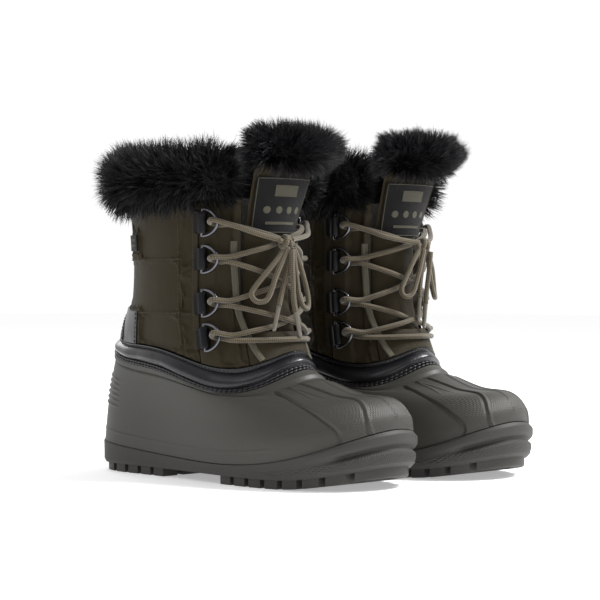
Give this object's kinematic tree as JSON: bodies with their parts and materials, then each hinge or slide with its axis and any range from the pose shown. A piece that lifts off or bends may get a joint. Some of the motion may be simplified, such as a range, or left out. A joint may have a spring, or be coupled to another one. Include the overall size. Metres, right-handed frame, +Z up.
{
  "type": "insulated winter boots",
  "caption": "Pair of insulated lace-up winter boots with rubber foot shells, lugged soles, quilted shafts, hinged D-rings and fur collars.",
  "frame": {"origin": "on the ground at the centre of the pair's footprint", "axes": "+Z up, -Y towards the toes, -X the wearer's right boot"},
  "size_m": [0.2852, 0.3226, 0.2842],
  "materials": {
    "sole_rubber": "matte",
    "shell_rubber": "matte",
    "glossy_leather": "gloss",
    "quilt_nylon": "satin",
    "stay_nylon": "satin",
    "patch_fabric": "matte",
    "fur": "matte",
    "liner_felt": "matte",
    "footbed_foam": "matte",
    "lace_braid": "matte",
    "aglet_plastic": "gloss",
    "dark_metal": "satin",
    "label_fabric": "matte"
  },
  "bodies": {
    "right_boot": {"right_outsole": "sole_rubber", "right_foot_shell": "shell_rubber", "right_rand_band": "glossy_leather", "right_heel_counter": "glossy_leather", "right_quarter_outer": "quilt_nylon", "right_quarter_inner": "quilt_nylon", "right_eyestay_outer": "stay_nylon", "right_eyestay_inner": "stay_nylon", "right_vamp": "stay_nylon", "right_tongue": "quilt_nylon", "right_tongue_patch": "patch_fabric", "right_tongue_fur": "fur", "right_collar_fur": "fur", "right_liner": "liner_felt", "right_footbed": "footbed_foam", "right_side_label": "label_fabric", "right_ring_tabs_outer": "glossy_leather", "right_ring_tabs_inner": "glossy_leather", "right_lace": "lace_braid", "right_lace_bow": "lace_braid", "right_aglet_a": "aglet_plastic", "right_aglet_b": "aglet_plastic"},
    "left_boot": {"left_outsole": "sole_rubber", "left_foot_shell": "shell_rubber", "left_rand_band": "glossy_leather", "left_heel_counter": "glossy_leather", "left_quarter_outer": "quilt_nylon", "left_quarter_inner": "quilt_nylon", "left_eyestay_outer": "stay_nylon", "left_eyestay_inner": "stay_nylon", "left_vamp": "stay_nylon", "left_tongue": "quilt_nylon", "left_tongue_patch": "patch_fabric", "left_tongue_fur": "fur", "left_collar_fur": "fur", "left_liner": "liner_felt", "left_footbed": "footbed_foam", "left_side_label": "label_fabric", "left_ring_tabs_outer": "glossy_leather", "left_ring_tabs_inner": "glossy_leather", "left_lace": "lace_braid", "left_lace_bow": "lace_braid", "left_aglet_a": "aglet_plastic", "left_aglet_b": "aglet_plastic"},
    "right_d_ring_outer_1": {"right_d_ring_outer_1": "dark_metal"},
    "right_d_ring_outer_2": {"right_d_ring_outer_2": "dark_metal"},
    "right_d_ring_outer_3": {"right_d_ring_outer_3": "dark_metal"},
    "right_d_ring_outer_4": {"right_d_ring_outer_4": "dark_metal"},
    "right_d_ring_inner_1": {"right_d_ring_inner_1": "dark_metal"},
    "right_d_ring_inner_2": {"right_d_ring_inner_2": "dark_metal"},
    "right_d_ring_inner_3": {"right_d_ring_inner_3": "dark_metal"},
    "right_d_ring_inner_4": {"right_d_ring_inner_4": "dark_metal"},
    "left_d_ring_outer_1": {"left_d_ring_outer_1": "dark_metal"},
    "left_d_ring_outer_2": {"left_d_ring_outer_2": "dark_metal"},
    "left_d_ring_outer_3": {"left_d_ring_outer_3": "dark_metal"},
    "left_d_ring_outer_4": {"left_d_ring_outer_4": "dark_metal"},
    "left_d_ring_inner_1": {"left_d_ring_inner_1": "dark_metal"},
    "left_d_ring_inner_2": {"left_d_ring_inner_2": "dark_metal"},
    "left_d_ring_inner_3": {"left_d_ring_inner_3": "dark_metal"},
    "left_d_ring_inner_4": {"left_d_ring_inner_4": "dark_metal"}
  },
  "joints": [
    {"name": "left_boot_slide", "type": "slide", "parent": "right_boot", "child": "left_boot", "axis": [1, 0, 0], "range_m": [0, 0.2]},
    {"name": "right_d_ring_outer_1_hinge", "type": "hinge", "parent": "right_boot", "child": "right_d_ring_outer_1", "pos_m": [-0.12434, 0.00406, 0.20482], "axis": [-0.0221, -0.0212, 0.9995], "range_deg": [-5, 5]},
    {"name": "right_d_ring_outer_2_hinge", "type": "hinge", "parent": "right_boot", "child": "right_d_ring_outer_2", "pos_m": [-0.12389, 0.0044, 0.1759], "axis": [-0.0092, -0.0204, 0.9998], "range_deg": [-5, 5]},
    {"name": "right_d_ring_outer_3_hinge", "type": "hinge", "parent": "right_boot", "child": "right_d_ring_outer_3", "pos_m": [-0.12391, 0.0043, 0.14124], "axis": [0.0146, 0.0706, 0.9974], "range_deg": [-5, 5]},
    {"name": "right_d_ring_outer_4_hinge", "type": "hinge", "parent": "right_boot", "child": "right_d_ring_outer_4", "pos_m": [-0.12474, 0.00094, 0.11405], "axis": [0.0354, 0.1659, 0.9855], "range_deg": [-5, 5]},
    {"name": "right_d_ring_inner_1_hinge", "type": "hinge", "parent": "right_boot", "child": "right_d_ring_inner_1", "pos_m": [-0.02057, 0.00412, 0.20482], "axis": [0.0223, -0.0212, 0.9995], "range_deg": [-5, 5]},
    {"name": "right_d_ring_inner_2_hinge", "type": "hinge", "parent": "right_boot", "child": "right_d_ring_inner_2", "pos_m": [-0.02101, 0.00446, 0.1759], "axis": [0.0094, -0.0204, 0.9997], "range_deg": [-5, 5]},
    {"name": "right_d_ring_inner_3_hinge", "type": "hinge", "parent": "right_boot", "child": "right_d_ring_inner_3", "pos_m": [-0.02099, 0.00435, 0.14124], "axis": [-0.0154, 0.0706, 0.9974], "range_deg": [-5, 5]},
    {"name": "right_d_ring_inner_4_hinge", "type": "hinge", "parent": "right_boot", "child": "right_d_ring_inner_4", "pos_m": [-0.02012, 0.00101, 0.11405], "axis": [-0.0377, 0.1659, 0.9854], "range_deg": [-5, 5]},
    {"name": "left_d_ring_outer_1_hinge", "type": "hinge", "parent": "left_boot", "child": "left_d_ring_outer_1", "pos_m": [0.12434, -0.00594, 0.20482], "axis": [0.0221, -0.0212, 0.9995], "range_deg": [-5, 5]},
    {"name": "left_d_ring_outer_2_hinge", "type": "hinge", "parent": "left_boot", "child": "left_d_ring_outer_2", "pos_m": [0.12389, -0.0056, 0.1759], "axis": [0.0092, -0.0204, 0.9998], "range_deg": [-5, 5]},
    {"name": "left_d_ring_outer_3_hinge", "type": "hinge", "parent": "left_boot", "child": "left_d_ring_outer_3", "pos_m": [0.12391, -0.00571, 0.14124], "axis": [-0.0146, 0.0706, 0.9974], "range_deg": [-5, 5]},
    {"name": "left_d_ring_outer_4_hinge", "type": "hinge", "parent": "left_boot", "child": "left_d_ring_outer_4", "pos_m": [0.12474, -0.00906, 0.11405], "axis": [-0.0354, 0.1659, 0.9855], "range_deg": [-5, 5]},
    {"name": "left_d_ring_inner_1_hinge", "type": "hinge", "parent": "left_boot", "child": "left_d_ring_inner_1", "pos_m": [0.02057, -0.00588, 0.20482], "axis": [-0.0223, -0.0212, 0.9995], "range_deg": [-5, 5]},
    {"name": "left_d_ring_inner_2_hinge", "type": "hinge", "parent": "left_boot", "child": "left_d_ring_inner_2", "pos_m": [0.02101, -0.00554, 0.1759], "axis": [-0.0094, -0.0204, 0.9997], "range_deg": [-5, 5]},
    {"name": "left_d_ring_inner_3_hinge", "type": "hinge", "parent": "left_boot", "child": "left_d_ring_inner_3", "pos_m": [0.02099, -0.00565, 0.14124], "axis": [0.0154, 0.0706, 0.9974], "range_deg": [-5, 5]},
    {"name": "left_d_ring_inner_4_hinge", "type": "hinge", "parent": "left_boot", "child": "left_d_ring_inner_4", "pos_m": [0.02012, -0.00899, 0.11405], "axis": [0.0377, 0.1659, 0.9854], "range_deg": [-5, 5]}
  ]
}
